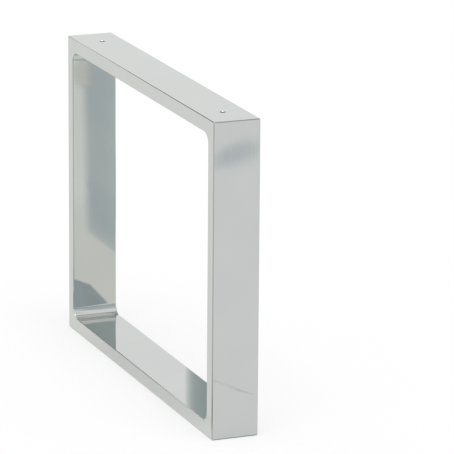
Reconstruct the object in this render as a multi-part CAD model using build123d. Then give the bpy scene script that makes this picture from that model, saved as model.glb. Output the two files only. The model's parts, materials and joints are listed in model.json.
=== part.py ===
from build123d import *
import os

# Table leg: a closed loop of flat rectangular steel tube that stands on its bottom rail.
# The frame is at the middle of the foot: X along the width, Y along the tube depth, Z up.

# Driving dimensions, in millimetres
leg_width = 515.0
leg_height = 395.0
tube_depth = 60.0
tube_thickness = 18.0
tube_wall = 1.5

# Corner rounding: the welded inside corners of the loop, and the eased outside edges
inside_corner_radius = 14.0
edge_radius = 1.2

# Fixing holes through the top rail, on the centre line of its depth, set in from the ends
screw_hole_inset = 47.5
screw_hole_diameter = 7.0
screw_hole_chamfer = 0.6
access_hole_diameter = 12.0

# How far a cutting shape runs past the wall that it cuts
cut_overrun = 0.5

# Sizes that follow from the values above
opening_width = leg_width - 2 * tube_thickness
opening_height = leg_height - 2 * tube_thickness
mid_height = leg_height / 2
top_rail_underside = leg_height - tube_thickness
screw_hole_reach = leg_width / 2 - screw_hole_inset


def outer_block():
    """The loop's outside as a plain block with every edge eased."""
    block = Pos(0, 0, mid_height) * Box(leg_width, tube_depth, leg_height)
    return fillet(block.edges(), edge_radius)


def opening():
    """The space inside the loop, with its rounded corners, right through the depth."""
    outline = RectangleRounded(opening_width, opening_height, inside_corner_radius)
    through = tube_depth / 2 + cut_overrun
    return extrude(Plane.XZ * Pos(0, mid_height) * outline, amount=through, both=True)


def tube_bore():
    """The hollow of the tube, one wall in from its outside, round all four sides."""
    bore_depth = tube_depth - 2 * tube_wall
    outside = Box(leg_width - 2 * tube_wall, bore_depth, leg_height - 2 * tube_wall)
    inside = Box(opening_width + 2 * tube_wall, bore_depth, opening_height + 2 * tube_wall)
    return Pos(0, 0, mid_height) * (outside - inside)


def screw_hole():
    """A clearance hole down through the top wall, with a chamfered mouth."""
    length = tube_wall + 2 * cut_overrun
    radius = screw_hole_diameter / 2
    shank = Pos(0, 0, leg_height - tube_wall / 2) * Cylinder(radius, length)
    mouth = Pos(0, 0, leg_height - screw_hole_chamfer / 2)
    mouth = mouth * Cone(radius, radius + screw_hole_chamfer, screw_hole_chamfer)
    return shank + mouth


def access_hole():
    """A hole up through the lower wall of the top rail, wide enough for a screw head."""
    length = tube_wall + 2 * cut_overrun
    return Pos(0, 0, top_rail_underside + tube_wall / 2) * Cylinder(access_hole_diameter / 2, length)


def leg_frame():
    """The welded loop: eased block, less the opening, the tube's hollow and the holes."""
    loop = outer_block() - opening()
    front = loop.faces().sort_by(Axis.Y)[0]
    back = loop.faces().sort_by(Axis.Y)[-1]
    rims = front.inner_wires().edges() + back.inner_wires().edges()
    loop = fillet(rims, edge_radius) - tube_bore()
    for x in (-screw_hole_reach, screw_hole_reach):
        loop -= Pos(x, 0, 0) * (screw_hole() + access_hole())
    return loop


os.makedirs("parts", exist_ok=True)
export_step(leg_frame(), "parts/leg_frame.step")
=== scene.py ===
import json
import math

import bpy
import numpy as np
from mathutils import Matrix, Vector


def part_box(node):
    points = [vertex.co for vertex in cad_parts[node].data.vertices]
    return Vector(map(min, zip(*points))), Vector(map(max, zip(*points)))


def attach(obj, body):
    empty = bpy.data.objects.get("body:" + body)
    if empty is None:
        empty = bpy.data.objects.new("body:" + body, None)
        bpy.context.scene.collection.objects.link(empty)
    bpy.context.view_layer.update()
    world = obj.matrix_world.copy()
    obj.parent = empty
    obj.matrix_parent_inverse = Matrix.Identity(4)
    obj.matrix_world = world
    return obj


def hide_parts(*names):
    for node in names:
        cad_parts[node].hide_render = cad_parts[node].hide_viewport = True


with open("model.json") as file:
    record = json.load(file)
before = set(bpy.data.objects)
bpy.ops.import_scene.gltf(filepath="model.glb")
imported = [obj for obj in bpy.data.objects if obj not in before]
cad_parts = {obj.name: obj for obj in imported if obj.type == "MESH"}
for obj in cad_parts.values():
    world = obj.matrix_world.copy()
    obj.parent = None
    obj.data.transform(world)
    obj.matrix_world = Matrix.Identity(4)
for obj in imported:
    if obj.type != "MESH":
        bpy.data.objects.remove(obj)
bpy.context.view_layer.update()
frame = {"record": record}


# Loop of the leg: four lengths of flat rectangular steel tube, mitred, welded and ground flush, so
# that one closed hollow ring is left with no seam showing. Weld metal rounds the inside corners,
# the polishing wheel has eased the outside edges, and the top rail is drilled for two screws.
mm = 0.001
loop_low, loop_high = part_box("leg_frame")
loop_width, loop_depth, loop_height = np.round(np.array(loop_high - loop_low), 6)
tube_thickness = 18.0 * mm
tube_wall = 1.5 * mm
inside_corner_radius = 14.0 * mm
edge_radius = 1.2 * mm

mount_dims = {mount["name"]: mount["dims"] for mount in frame["record"]["mounts"]}
screw_dims = mount_dims["table_top_screws"]
screw_reach = screw_dims["spacing_x_mm"] / 2 * mm
screw_hole_radius = screw_dims["hole_r_mm"] * mm
screw_hole_chamfer = 0.6 * mm
access_hole_radius = 6.0 * mm
hole_field_half_width = 12.0 * mm

corner_steps = 24
edge_steps = 8
face_steps = 8
shortest_side = 0.001 * mm
joining_distance = 0.0001 * mm
square_to_path = 0.9999

quarter_turn = math.pi / 2
half_outside = np.array([loop_width, loop_height]) / 2
half_opening = half_outside - tube_thickness
skin_half_depth = loop_depth / 2 - edge_radius
bore_half_depth = loop_depth / 2 - tube_wall
hole_field_stops = np.linspace(-hole_field_half_width, hole_field_half_width, face_steps + 1)


def loop_path(half_size, top_stops):
    """Closed path round an upright rectangle, and the direction that points out of it.

    Along a side the direction is that side's own. At a corner the path waits while the direction
    turns evenly through a quarter circle. The top side also stops at the X places given.
    """
    turn = np.linspace(0.0, quarter_turn, corner_steps + 1)
    places = []
    angles = []
    for quarter, side in enumerate([(1, 1), (-1, 1), (-1, -1), (1, -1)]):
        places.append(np.tile(half_size * side, (len(turn), 1)))
        angles.append(turn + quarter * quarter_turn)
        if quarter == 0:
            places.append(np.column_stack([top_stops, np.full_like(top_stops, half_size[1])]))
            angles.append(np.full_like(top_stops, quarter_turn))
    places.append(places[0][:1])
    angles.append(angles[0][:1])
    angle = np.concatenate(angles)
    return np.concatenate(places), np.column_stack([np.cos(angle), np.sin(angle)])


def section_face(hold, out, across, facing, steps):
    """Flat stretch of a section: evenly spaced points across the depth that all face one way.

    A row of a section holds its corner centres' X and Z, how far it stands out from them, its
    place across the depth, and the way it faces, out and across.
    """
    rows = np.empty((steps + 1, 6))
    rows[:, 0:2] = hold
    rows[:, 2] = out
    rows[:, 3] = np.linspace(across[0], across[1], steps + 1)
    rows[:, 4:6] = facing
    return rows


def section_edge(hold, out, across, first_angle):
    """Eased edge of a section: a quarter circle of the edge radius about the point given."""
    angle = first_angle + np.linspace(0.0, quarter_turn, edge_steps + 1)
    rows = np.empty((edge_steps + 1, 6))
    rows[:, 0:2] = hold
    rows[:, 4:6] = np.column_stack([np.cos(angle), np.sin(angle)])
    rows[:, 2:4] = np.array([out, across]) + edge_radius * rows[:, 4:6]
    return rows


def skin_section():
    """Outside of the tube: outer face, inner face and four eased edges; the sides lie between."""
    outer = half_outside - edge_radius
    inner = half_opening - inside_corner_radius
    inner_edge = inside_corner_radius + edge_radius
    depth = skin_half_depth
    return np.concatenate([
        section_face(outer, edge_radius, (-depth, depth), (1, 0), face_steps),
        section_edge(outer, 0.0, depth, 0.0),
        section_edge(inner, inner_edge, depth, quarter_turn),
        section_face(inner, inside_corner_radius, (depth, -depth), (-1, 0), face_steps),
        section_edge(inner, inner_edge, -depth, 2 * quarter_turn),
        section_edge(outer, 0.0, -depth, 3 * quarter_turn),
    ])


def bore_section():
    """Hollow of the tube, sharp-cornered and one wall in from the skin, facing into the hollow."""
    outer = half_outside - tube_wall
    inner = half_opening + tube_wall
    depth = bore_half_depth
    return np.concatenate([
        section_face(outer, 0.0, (-depth, depth), (-1, 0), face_steps),
        section_face(outer, 0.0, (depth, depth), (0, -1), 0),
        section_face(inner, 0.0, (depth, depth), (0, -1), 0),
        section_face(inner, 0.0, (depth, -depth), (1, 0), face_steps),
        section_face(inner, 0.0, (-depth, -depth), (0, 1), 0),
        section_face(outer, 0.0, (-depth, -depth), (0, 1), 0),
    ])


def triangles(points, normals, kept):
    """Two triangles for each kept cell of a grid, as their corners' points and normals.

    A triangle that faces away from its normals is turned round, and one with no area is dropped.
    """
    def corners(grid):
        first, second, third, fourth = grid[:-1, :-1], grid[1:, :-1], grid[1:, 1:], grid[:-1, 1:]
        lower = np.stack([first, second, third], axis=2)[kept]
        upper = np.stack([first, third, fourth], axis=2)[kept]
        return np.concatenate([lower, upper])

    place = corners(points)
    facing = corners(normals)
    across = np.cross(place[:, 1] - place[:, 0], place[:, 2] - place[:, 0])
    backward = np.sum(across * facing.sum(axis=1), axis=1) < 0
    place[backward] = place[backward][:, ::-1]
    facing[backward] = facing[backward][:, ::-1]
    sound = np.linalg.norm(across, axis=1) > shortest_side ** 2
    return place[sound], facing[sound]


def carried_section(section, places, directions):
    """Surface of a section carried round the path, open at the fields kept for the holes.

    Each point of the section follows the path but is held at its own corner centres, then stands
    out along the path's direction, and keeps its place across the depth.
    """
    rows = np.concatenate([section, section[:1]])
    hold = rows[:, 0:2]
    points = np.empty((len(places), len(rows), 3))
    points[..., 0::2] = np.clip(places[:, None], -hold, hold) + rows[:, 2:3] * directions[:, None]
    points[..., 1] = rows[:, 3]
    points[..., 2] += loop_height / 2
    normals = np.empty_like(points)
    normals[..., 0::2] = rows[:, 4:5] * directions[:, None]
    normals[..., 1] = rows[:, 5]
    middle = (places[1:, 0] + places[:-1, 0]) / 2
    drilled = np.abs(np.abs(middle) - screw_reach) < hole_field_half_width
    face_on = np.abs(rows[:, 4]) > square_to_path
    kept = ~(drilled[:, None] & face_on[1:] & face_on[:-1])
    return triangles(points, normals, kept)


def hole_directions():
    """Directions round a hole, one for each point of its field's outline, from the same corner."""
    first = -quarter_turn / 2
    angle = np.linspace(first, first + 4 * quarter_turn, 4 * face_steps + 1)
    return np.column_stack([np.cos(angle), np.sin(angle)])


def hole_field(x, z, half_depth, radius, facing):
    """Flat field of a rail's face round a hole: straight lines from its outline to the rim."""
    across = np.linspace(-half_depth, half_depth, face_steps + 1)
    along = hole_field_stops
    right = np.column_stack([np.full_like(across, along[-1]), across])
    back = np.column_stack([along[::-1], np.full_like(along, across[-1])])
    left = np.column_stack([np.full_like(across, along[0]), across[::-1]])
    front = np.column_stack([along, np.full_like(along, across[0])])
    outline = np.concatenate([right[:-1], back[:-1], left[:-1], front])
    rim = radius * hole_directions()
    points = np.empty((len(rim), 2, 3))
    points[..., 0] = x + np.column_stack([outline[:, 0], rim[:, 0]])
    points[..., 1] = np.column_stack([outline[:, 1], rim[:, 1]])
    points[..., 2] = z
    normals = np.zeros_like(points)
    normals[..., 2] = facing
    return triangles(points, normals, np.ones((len(rim) - 1, 1), bool))


def hole_wall(x, radii, heights):
    """Wall of a hole: a straight line turned round the hole's axis, facing the axis."""
    direction = hole_directions()
    slope = np.array([heights[0] - heights[1], radii[1] - radii[0]])
    inward, upward = -slope / np.linalg.norm(slope)
    points = np.empty((len(direction), 2, 3))
    points[..., 0:2] = direction[:, None] * np.array(radii)[:, None]
    points[..., 0] += x
    points[..., 2] = heights
    normals = np.empty_like(points)
    normals[..., 0:2] = inward * direction[:, None]
    normals[..., 2] = upward
    return triangles(points, normals, np.ones((len(direction) - 1, 1), bool))


def drilled_hole(x):
    """Screw hole with its chamfered mouth in the top wall, and the access hole straight below."""
    top = loop_height
    top_inside = top - tube_wall
    chamfer_foot = top - screw_hole_chamfer
    under = top - tube_thickness
    under_inside = under + tube_wall
    mouth = screw_hole_radius + screw_hole_chamfer
    return [
        hole_field(x, top, skin_half_depth, mouth, 1),
        hole_wall(x, (mouth, screw_hole_radius), (top, chamfer_foot)),
        hole_wall(x, (screw_hole_radius, screw_hole_radius), (chamfer_foot, top_inside)),
        hole_field(x, top_inside, bore_half_depth, screw_hole_radius, -1),
        hole_field(x, under, skin_half_depth, access_hole_radius, -1),
        hole_wall(x, (access_hole_radius, access_hole_radius), (under_inside, under)),
        hole_field(x, under_inside, bore_half_depth, access_hole_radius, 1),
    ]


def joined_mesh(name, sheets):
    """One mesh of all the sheets: corners that fall together become one vertex.

    Each triangle keeps its own corner normals, so that a flat face mirrors as a flat one.
    """
    place = np.concatenate([sheet[0] for sheet in sheets])
    facing = np.concatenate([sheet[1] for sheet in sheets])
    grid = np.round(place.reshape(-1, 3) / joining_distance).astype(np.int64)
    _, first, corner = np.unique(grid, axis=0, return_index=True, return_inverse=True)
    mesh = bpy.data.meshes.new(name)
    mesh.from_pydata(place.reshape(-1, 3)[first], [], corner.reshape(-1, 3).tolist())
    mesh.polygons.foreach_set("use_smooth", np.ones(len(mesh.polygons), bool))
    mesh.normals_split_custom_set(facing.reshape(-1, 3))
    return mesh


backward_stops = hole_field_stops[::-1]
path_stops = np.concatenate([screw_reach + backward_stops, -screw_reach + backward_stops])
path_places, path_directions = loop_path(half_outside - edge_radius, path_stops)
loop_sheets = [
    carried_section(skin_section(), path_places, path_directions),
    carried_section(bore_section(), path_places, path_directions),
    *drilled_hole(screw_reach),
    *drilled_hole(-screw_reach),
]
leg_loop = bpy.data.objects.new("leg_loop", joined_mesh("leg_loop", loop_sheets))
bpy.context.collection.objects.link(leg_loop)


def linear(hex_colour):
    """Linear RGBA of an sRGB hex colour."""
    srgb = np.array([int(hex_colour[start:start + 2], 16) for start in (1, 3, 5)]) / 255
    rgb = np.where(srgb <= 0.04045, srgb / 12.92, ((srgb + 0.055) / 1.055) ** 2.4)
    return (*rgb, 1.0)


def add_node(tree, kind, settings, links):
    """Adds a node, sets its inputs or properties, and links outputs into its inputs.

    An input is given by its name, or by its number where several share a name.
    """
    node = tree.nodes.new(kind)
    for name, value in settings.items():
        if isinstance(name, int) or name in node.inputs:
            node.inputs[name].default_value = value
        else:
            setattr(node, name, value)
    for name, source in links.items():
        tree.links.new(source, node.inputs[name])
    return node


# Bright chrome plate on polished steel: nearly a mirror, in a cool light grey. Hand wiping leaves
# a faint cloudy haze, the drawn tube has a slow shallow wave that bends straight reflections a
# little, and buffing along the tube leaves fine lines, drawn coarser here than they are.
chrome_light = "#D5D8D5"
chrome_deep = "#CED1D0"
chrome_smoothest = 0.035
chrome_roughest = 0.065
haze_size = 60.0 * mm
haze_least = 0.1
haze_most = 0.45
wave_size = 45.0 * mm
wave_height = 0.03 * mm
buffing_pitch = 1.2 * mm
buffing_length = 150.0 * mm

chrome = bpy.data.materials.new("chrome_plated_steel")
chrome.use_nodes = True
chrome_tree = chrome.node_tree
chrome_shader = chrome_tree.nodes["Principled BSDF"]
chrome_shader.inputs["Metallic"].default_value = 1.0
chrome_place = add_node(chrome_tree, "ShaderNodeTexCoord", {}, {}).outputs["Object"]
haze = add_node(
    chrome_tree, "ShaderNodeTexNoise",
    {"Scale": 1 / haze_size, "Detail": 3.0},
    {"Vector": chrome_place},
).outputs["Fac"]
buffing_place = add_node(
    chrome_tree, "ShaderNodeMapping",
    {"Scale": (1 / buffing_length, 1 / buffing_pitch, 1 / buffing_length)},
    {"Vector": chrome_place},
).outputs["Vector"]
buffing = add_node(
    chrome_tree, "ShaderNodeTexNoise",
    {"Scale": 1.0, "Detail": 2.0},
    {"Vector": buffing_place},
).outputs["Fac"]
wave = add_node(
    chrome_tree, "ShaderNodeTexNoise",
    {"Scale": 1 / wave_size, "Detail": 0.0},
    {"Vector": chrome_place},
).outputs["Fac"]
tint = add_node(
    chrome_tree, "ShaderNodeMix",
    {"data_type": "RGBA", 6: linear(chrome_deep), 7: linear(chrome_light)},
    {0: haze},
).outputs[2]
haze_and_lines = add_node(
    chrome_tree, "ShaderNodeMath",
    {"operation": "MULTIPLY"},
    {0: haze, 1: buffing},
).outputs[0]
gloss_ends = {
    "From Min": haze_least, "From Max": haze_most,
    "To Min": chrome_smoothest, "To Max": chrome_roughest,
}
gloss = add_node(
    chrome_tree, "ShaderNodeMapRange", gloss_ends,
    {"Value": haze_and_lines},
).outputs["Result"]
bump = add_node(
    chrome_tree, "ShaderNodeBump",
    {"Distance": wave_height},
    {"Height": wave},
).outputs["Normal"]
chrome_tree.links.new(tint, chrome_shader.inputs["Base Color"])
chrome_tree.links.new(gloss, chrome_shader.inputs["Roughness"])
chrome_tree.links.new(bump, chrome_shader.inputs["Normal"])

leg_loop.data.materials.append(chrome)
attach(leg_loop, "root")
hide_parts("leg_frame")


# Studio floor: a wide sheet of matt white paper that the leg stands on, with its soft shadow. Its
# own white is added where it is seen, so that it shows as white as the room, and the metal mirrors
# it a little greyer.
floor_half_width = 9.0
floor_drop = 0.2 * mm
pure_white = "#FFFFFF"
floor_white = "#FCFCFC"
floor_own_white = 0.6
floor_white_in_mirrors = 0.76


def seen_directly(tree):
    """1 for rays from the camera, a mirror or glass, and 0 for light that falls on things."""
    rays = add_node(tree, "ShaderNodeLightPath", {}, {}).outputs
    from_eye = add_node(
        tree, "ShaderNodeMath", {"operation": "MAXIMUM"},
        {0: rays["Is Camera Ray"], 1: rays["Is Glossy Ray"]},
    ).outputs[0]
    return add_node(
        tree, "ShaderNodeMath", {"operation": "MAXIMUM"},
        {0: from_eye, 1: rays["Is Transmission Ray"]},
    ).outputs[0]


def stage_sheet(name, points):
    """Open sheet of the set: a grid of points joined by four-sided faces."""
    rows, columns = points.shape[:2]
    number = np.arange(rows * columns).reshape(rows, columns)
    cells = np.stack([number[:-1, :-1], number[1:, :-1], number[1:, 1:], number[:-1, 1:]], axis=2)
    mesh = bpy.data.meshes.new(name)
    mesh.from_pydata(points.reshape(-1, 3), [], cells.reshape(-1, 4).tolist())
    sheet = bpy.data.objects.new(name, mesh)
    bpy.context.collection.objects.link(sheet)
    material = bpy.data.materials.new(name)
    material.use_nodes = True
    material.node_tree.nodes.clear()
    mesh.materials.append(material)
    return sheet, material.node_tree


def spread(x, y, z):
    """Grid of points from X, Y and Z values that fill out to one shape."""
    return np.stack(np.broadcast_arrays(x, y, z), axis=-1).astype(float)


floor_span = np.array([-floor_half_width, floor_half_width])
floor_points = spread(floor_span[:, None], floor_span, -floor_drop)
_, paper_tree = stage_sheet("studio_floor", floor_points)
paper_matt = add_node(paper_tree, "ShaderNodeBsdfDiffuse", {"Color": linear(floor_white)}, {})
paper_rays = add_node(paper_tree, "ShaderNodeLightPath", {}, {}).outputs
paper_strength = add_node(
    paper_tree, "ShaderNodeMapRange", {"To Min": floor_white_in_mirrors, "To Max": 1.0},
    {"Value": paper_rays["Is Camera Ray"]},
)
paper_white = add_node(
    paper_tree, "ShaderNodeEmission", {"Color": linear(pure_white)},
    {"Strength": paper_strength.outputs["Result"]},
)
paper_share = add_node(
    paper_tree, "ShaderNodeMath", {"operation": "MULTIPLY", 1: floor_own_white},
    {0: seen_directly(paper_tree)},
)
paper_mix = add_node(
    paper_tree, "ShaderNodeMixShader", {},
    {0: paper_share.outputs[0], 1: paper_matt.outputs[0], 2: paper_white.outputs[0]},
)
add_node(paper_tree, "ShaderNodeOutputMaterial", {}, {"Surface": paper_mix.outputs[0]})


# Studio panels that only the metal sees, each in one colour and fading out where its shade falls.
# Dark ones higher than the leg draw its edges as thin lines. Papers and patches on the floor and
# cards standing behind the leg shade its faces; some floor sheets are painted shadows of the leg.
# Floor panels that overlap differ in height.
flag_black = "#1D2125"
panel_lift = 1.0 * mm
layer_step = 0.05 * mm
patch_rings = 12
patch_spokes = 24
patch_fade = 0.6


def studio_panel(name, points, shade, colour):
    """Sheet that lights nothing: of its colour where its shade is 1, and clear where it is 0."""
    panel, tree = stage_sheet(name, points)
    panel.visible_camera = False
    panel.visible_diffuse = False
    panel.visible_shadow = False
    shades = np.broadcast_to(shade, points.shape[:2]).astype(np.float32).ravel()
    panel.data.attributes.new("shade", "FLOAT", "POINT").data.foreach_set("value", shades)
    share = add_node(tree, "ShaderNodeAttribute", {"attribute_name": "shade"}, {})
    clear = add_node(tree, "ShaderNodeBsdfTransparent", {}, {})
    glow = add_node(tree, "ShaderNodeEmission", {"Color": linear(colour)}, {})
    faded = add_node(
        tree, "ShaderNodeMixShader", {},
        {0: share.outputs["Fac"], 1: clear.outputs[0], 2: glow.outputs[0]},
    )
    add_node(tree, "ShaderNodeOutputMaterial", {}, {"Surface": faded.outputs[0]})


def soft_patch(name, layer, centre, long_half, short_half, colour):
    """Oval patch just above the floor: even in the middle, and faded out from there to its rim."""
    ring = np.linspace(0.0, 1.0, patch_rings + 1)[:, None]
    turn = np.radians(np.linspace(0.0, 360.0, patch_spokes + 1))
    points = spread(
        centre[0] + ring * (long_half[0] * np.cos(turn) + short_half[0] * np.sin(turn)),
        centre[1] + ring * (long_half[1] * np.cos(turn) + short_half[1] * np.sin(turn)),
        panel_lift + layer * layer_step,
    )
    fade = np.clip((1.0 - ring) / patch_fade, 0.0, 1.0)
    studio_panel(name, points, fade * fade * (3.0 - 2.0 * fade), colour)


# Canopy high over the far end, for the eased edges along the top rail
canopy_radius = 2.0
canopy_lift = np.radians(np.array([20.5, 22.0, 28.0, 34.0, 50.0, 70.0, 90.0]))[:, None]
canopy_side = np.array([-0.95, -0.70, 0.95, 1.20])
canopy_up = np.array([0.0, 0.97, 0.97, 0.60, 0.50, 0.48, 0.45])[:, None]
canopy_across = np.array([0.0, 1.0, 1.0, 0.0])
canopy_shade = canopy_up * canopy_across
canopy_points = spread(
    -canopy_radius * np.cos(canopy_lift),
    canopy_side,
    loop_height + canopy_radius * np.sin(canopy_lift),
)
studio_panel("dark_canopy", canopy_points, canopy_shade, flag_black)

# Flag over the near end, for the eased edge across the end of the top rail
flag_x = np.array([0.275, 0.682])[:, None]
flag_y = np.array([0.12, 0.33])
flag_lift = 0.5
flag_points = spread(flag_x, flag_y, loop_height + flag_lift)
studio_panel("dark_flag", flag_points, 1.0, flag_black)

# Lower flag beyond the far end, for the rim along the bottom rail
low_flag_x = -1.5
low_flag_y = np.array([-0.50, -0.03])[:, None]
low_flag_z = np.array([0.45, 0.82])
low_flag_points = spread(low_flag_x, low_flag_y, low_flag_z)
studio_panel("low_dark_flag", low_flag_points, 1.0, flag_black)

# Grey side of the room beyond the near end, fading out upwards
room_radius = 6.0
room_lift = np.radians(np.array([-6.0, 6.0, 13.0, 20.0, 32.0]))[:, None]
room_shade = np.array([1.0, 1.0, 0.52, 0.25, 0.0])[:, None]
room_points = spread(
    room_radius * np.cos(room_lift),
    np.array([-room_radius, room_radius]),
    loop_height + room_radius * np.sin(room_lift),
)
studio_panel("cool_room_side", room_points, room_shade, "#A3ABAE")

# Off-white paper on the floor in front of the leg, for the front faces
warm_x = np.array([-4.0, 0.256])[:, None]
warm_y = np.array([-4.0, -0.0315])
warm_points = spread(warm_x, warm_y, panel_lift / 2)
studio_panel("warm_floor_paper", warm_points, 1.0, "#F0F0EE")

# Painted contact shadow: a grey strip on the floor along the foot of the bottom rail's front, which
# that face mirrors
strip_x = np.array([-230.0, -130.0, 60.0, 180.0, 215.0])[:, None] * mm
strip_y = np.array([-31.5, -62.0]) * mm
strip_shade = np.array([0.0, 1.0, 1.0, 0.6, 0.0])[:, None]
strip_points = spread(strip_x, strip_y, panel_lift - layer_step)
studio_panel("rail_painted_shadow_strip", strip_points, strip_shade, "#E3E4E2")

# Grey paper fanned out round the near corner, for the eased upright edge there
paper_turn = np.array([-154.0, -140.0, -110.0, -80.0, -50.0, -20.0, 0.0, 14.0])
paper_turn = np.radians(paper_turn)[:, None]
paper_reach = np.array([0.004, 3.0])
paper_shade = np.array([0.0, 1.0, 1.0, 1.0, 1.0, 1.0, 1.0, 0.0])[:, None]
paper_points = spread(
    loop_width / 2 + paper_reach * np.cos(paper_turn),
    -loop_depth / 2 + paper_reach * np.sin(paper_turn),
    panel_lift,
)
studio_panel("grey_floor_paper", paper_points, paper_shade, "#C7CBCC")

# Painted shadow of the leg on the floor further in front, fading out away from the leg, for the
# rims of the opening. The clear lane between 228 and 272 mm is what the near post's front mirrors,
# so that this face stays bright.
lane_way = (-0.929, -0.370)
lane_start = np.array([-250.0, -150.0, -40.0, 205.0, 228.0, 272.0, 300.0, 520.0, 700.0, 900.0]) * mm
lane_reach = np.array([80.0, 95.0, 300.0, 500.0, 700.0, 950.0]) * mm
lane_across = np.array([0.0, 0.3, 1.0, 1.0, 0.0, 0.0, 1.0, 1.0, 0.5, 0.0])
lane_along = np.array([0.0, 1.0, 1.0, 0.85, 0.4, 0.0])
lane_shade = lane_across[:, None] * lane_along
lane_points = spread(
    lane_start[:, None] + lane_way[0] * lane_reach,
    -loop_depth / 2 + lane_way[1] * lane_reach,
    2 * panel_lift,
)
studio_panel("front_painted_floor_shadow", lane_points, lane_shade, "#828688")

# Soft patches on the floor: the first clouds the near post's end face, the others the far post
soft_patch("near_floor_patch", 4, (1.563, 0.527), (0.055, 0.085), (0.083, 0.029), "#CDD2D7")
soft_patch("far_floor_patch", 3, (1.205, 0.500), (0.162, 0.058), (-0.008, 0.028), "#D5D4CE")
soft_patch("outer_floor_patch", 2, (0.800, 0.352), (0.420, 0.153), (-0.012, 0.046), "#E9E9E6")
soft_patch("middle_floor_patch", 1, (0.090, 0.120), (0.420, 0.152), (-0.050, 0.120), "#E3E3DF")

# Painted shadow of the bottom rail on the floor behind it, for the foot of the far post
rail_shadow_x = np.array([-150.0, -49.0, -18.0])[:, None] * mm
rail_shadow_y = np.array([[45.0, 53.0], [45.0, 61.6], [45.0, 51.6]]) * mm
rail_shadow_points = spread(rail_shadow_x, rail_shadow_y, 2 * panel_lift)
studio_panel("painted_rail_shadow_patch", rail_shadow_points, 1.0, "#A4AEB2")

# Painted contact shadow: a dark line on the floor along the foot of the near post's end face, which
# its eased foot edge mirrors
foot_x = np.array([256.5, 260.0])[:, None] * mm
foot_y = np.array([-29.0, 29.0]) * mm
foot_points = spread(foot_x, foot_y, 0.0)
studio_panel("painted_foot_shadow_line", foot_points, 1.0, "#777B7B")

# Fold in the floor paper, a thin slanting line low on the near post's end face
fold_way = (0.926, 0.377)
fold_place = np.array([[478.0, 60.0], [454.0, 68.0], [427.0, 75.0], [405.0, 85.0]]) * mm
fold_across = np.array([-4.0, 0.0, 4.0]) * mm
fold_shade = np.array([0.5, 0.4, 1.0, 0.1])[:, None] * np.array([0.0, 1.0, 0.0])
fold_points = spread(
    fold_place[:, :1] + fold_way[0] * fold_across,
    fold_place[:, 1:] + fold_way[1] * fold_across,
    panel_lift + 5 * layer_step,
)
studio_panel("paper_fold", fold_points, fold_shade, "#B3B7B7")

# Card standing behind the near half, for the dark patch on the far post. Its sides shift a little
# with height, and step back at 217 mm, and it fades towards the floor and the top.
card_place = 153.0 * mm
near_card_x = np.array([-40.0, 90.0, 150.0, 200.0, 212.0, 236.0]) * mm
near_card_across = np.array([0.0, 0.86, 1.0, 1.0, 0.75, 0.0])
near_card_rows = np.array([
    (0.0, -5.0, 0.45),
    (6.0, -5.0, 0.70),
    (13.0, -4.5, 0.83),
    (27.0, -4.0, 1.0),
    (72.0, -1.3, 1.0),
    (92.0, -0.1, 0.90),
    (160.0, 3.9, 0.90),
    (185.0, 5.4, 0.96),
    (217.0, 7.0, 0.95),
    (221.0, -7.0, 0.95),
    (290.0, -7.0, 0.92),
    (360.0, -7.0, 0.0),
])
near_card_z = near_card_rows[:, 0] * mm
near_card_shift = near_card_rows[:, 1] * mm
near_card_shade = near_card_across[:, None] * near_card_rows[:, 2]
near_card_points = spread(near_card_x[:, None] + near_card_shift, card_place, near_card_z)
studio_panel("near_card", near_card_points, near_card_shade, "#BAC3C5")

# Lighter card further out beside it, which the far post's foot mirrors by way of the bottom rail
side_card_place = 300.0 * mm
side_card_x = np.array([570.0, 625.0, 720.0])[:, None] * mm
side_card_z = np.array([185.0, 330.0]) * mm
side_card_shade = np.array([0.0, 1.0, 1.0])[:, None]
side_card_points = spread(side_card_x, side_card_place, side_card_z)
studio_panel("side_card", side_card_points, side_card_shade, "#C0CBD1")

# Card standing behind the far half, for the dark patch at the near end of the bottom rail
far_card_x = np.array([-304.0, -294.0, -282.0, -266.0, -230.0, -80.0, -20.0]) * mm
far_card_z = np.array([80.0, 118.0, 182.0, 220.0]) * mm
far_card_across = np.array([0.0, 0.35, 0.68, 0.90, 1.0, 1.0, 0.0])
far_card_up = np.array([0.0, 1.0, 1.0, 0.0])
far_card_shade = far_card_across[:, None] * far_card_up
far_card_points = spread(far_card_x[:, None], card_place, far_card_z)
studio_panel("far_card", far_card_points, far_card_shade, "#A0ABAB")


# Studio light: a room that is white all round, which the metal mirrors a little greyer and which
# lights the leg evenly, and a soft lamp high over the leg that casts its shadow.
room_light = 0.76
room_in_mirrors = 0.90
lamp_direction = Vector((0.244, -0.099, 0.966))
lamp_spread = math.radians(42.0)
lamp_strength = 0.9

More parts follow.
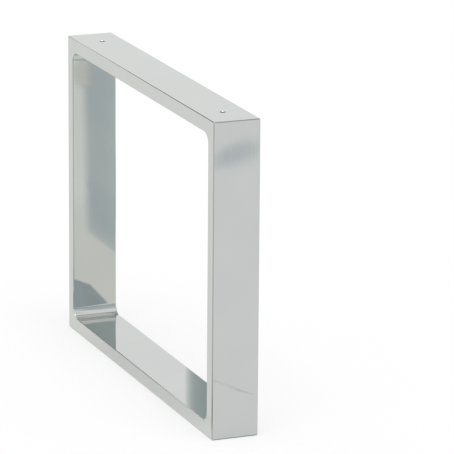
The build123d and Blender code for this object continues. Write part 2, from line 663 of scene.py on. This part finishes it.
world = bpy.data.worlds.new("white_room")
bpy.context.scene.world = world
world.use_nodes = True
room_tree = world.node_tree
room_rays = add_node(room_tree, "ShaderNodeLightPath", {}, {}).outputs
room_glow = add_node(
    room_tree, "ShaderNodeMapRange", {"To Min": room_light, "To Max": room_in_mirrors},
    {"Value": seen_directly(room_tree)},
)
room_strength = add_node(
    room_tree, "ShaderNodeMapRange", {"To Max": 1.0},
    {"Value": room_rays["Is Camera Ray"], "To Min": room_glow.outputs["Result"]},
)
room_walls = room_tree.nodes["Background"]
room_walls.inputs["Color"].default_value = linear(pure_white)
room_tree.links.new(room_strength.outputs["Result"], room_walls.inputs["Strength"])

lamp_data = bpy.data.lights.new("soft_lamp", "SUN")
lamp_data.angle = lamp_spread
lamp_data.energy = lamp_strength
soft_lamp = bpy.data.objects.new("soft_lamp", lamp_data)
soft_lamp.rotation_euler = lamp_direction.to_track_quat("Z", "Y").to_euler()
bpy.context.collection.objects.link(soft_lamp)


# Camera: a long lens well back and a little above, looking along the loop past its near end.
camera_azimuth = math.radians(68.05)
camera_elevation = math.radians(15.15)
camera_roll = math.radians(0.42)
camera_distance = 4.716
camera_aim = Vector((31.2, 79.0, 199.7)) * mm
focal_length = 297.3
sensor_width = 36.0

camera_back = Vector((
    math.sin(camera_azimuth) * math.cos(camera_elevation),
    -math.cos(camera_azimuth) * math.cos(camera_elevation),
    math.sin(camera_elevation),
))
level_right = Vector((math.cos(camera_azimuth), math.sin(camera_azimuth), 0.0))
level_up = camera_back.cross(level_right)
camera_right = math.cos(camera_roll) * level_right + math.sin(camera_roll) * level_up
camera_up = math.cos(camera_roll) * level_up - math.sin(camera_roll) * level_right
camera_data = bpy.data.cameras.new("camera")
camera_data.sensor_width = sensor_width
camera_data.lens = focal_length
camera_data.clip_end = 100.0
camera = bpy.data.objects.new("camera", camera_data)
camera_place = camera_aim + camera_distance * camera_back
camera_turn = Matrix((camera_right, camera_up, camera_back)).transposed()
camera.matrix_world = Matrix.LocRotScale(camera_place, camera_turn, None)
bpy.context.collection.objects.link(camera)
bpy.context.scene.camera = camera

bpy.context.scene.view_settings.view_transform = "Standard"
